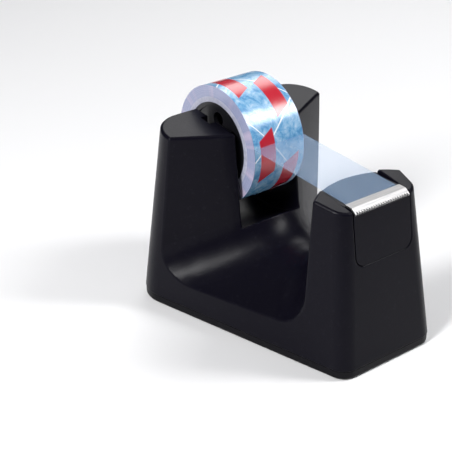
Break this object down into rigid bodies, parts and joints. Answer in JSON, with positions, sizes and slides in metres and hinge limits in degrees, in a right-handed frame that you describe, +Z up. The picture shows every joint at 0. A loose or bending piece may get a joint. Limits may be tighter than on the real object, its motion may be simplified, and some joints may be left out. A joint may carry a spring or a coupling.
{
  "type": "desk tape dispenser",
  "caption": "Wedge-shaped weighted desk tape dispenser with a small roll of tape between rear cheeks and a serrated cutter on the front tower.",
  "frame": {"origin": "on the ground under the middle of the bounding box", "axes": "+Z up, +X across the object along the roll's axle, the cutter end faces -Y"},
  "size_m": [0.0658, 0.0851, 0.065],
  "materials": {
    "housing_plastic": "satin, very fine grain",
    "base_plastic": "satin",
    "pad_rubber": "matte",
    "screw_steel": "zinc plated",
    "ballast_iron": "rough cast",
    "blade_steel": "satin, stamped",
    "hub_plastic": "satin",
    "core_card": "white moulded core",
    "tape_film": "clear film over a pale blue printed pattern",
    "web_film": "clear film"
  },
  "bodies": {
    "base": {"upper_housing": "housing_plastic", "base_plate": "base_plastic", "stop_pad": "pad_rubber", "base_screws": "screw_steel", "ballast_block": "ballast_iron", "cutter_carrier": "housing_plastic", "cutter_blade": "blade_steel"},
    "free_tape": {"tape_web": "web_film"},
    "roll": {"hub_half_left": "hub_plastic", "hub_half_right": "hub_plastic", "tape_core": "core_card", "tape_winding": "tape_film"}
  },
  "joints": [
    {"name": "roll_lift", "type": "slide", "parent": "base", "child": "free_tape", "axis": [0, 0, 1], "range_m": [0, 0.03]},
    {"name": "roll_spin", "type": "hinge", "parent": "free_tape", "child": "roll", "pos_m": [0, 0.02445, 0.0469], "axis": [1, 0, 0], "continuous": true}
  ]
}
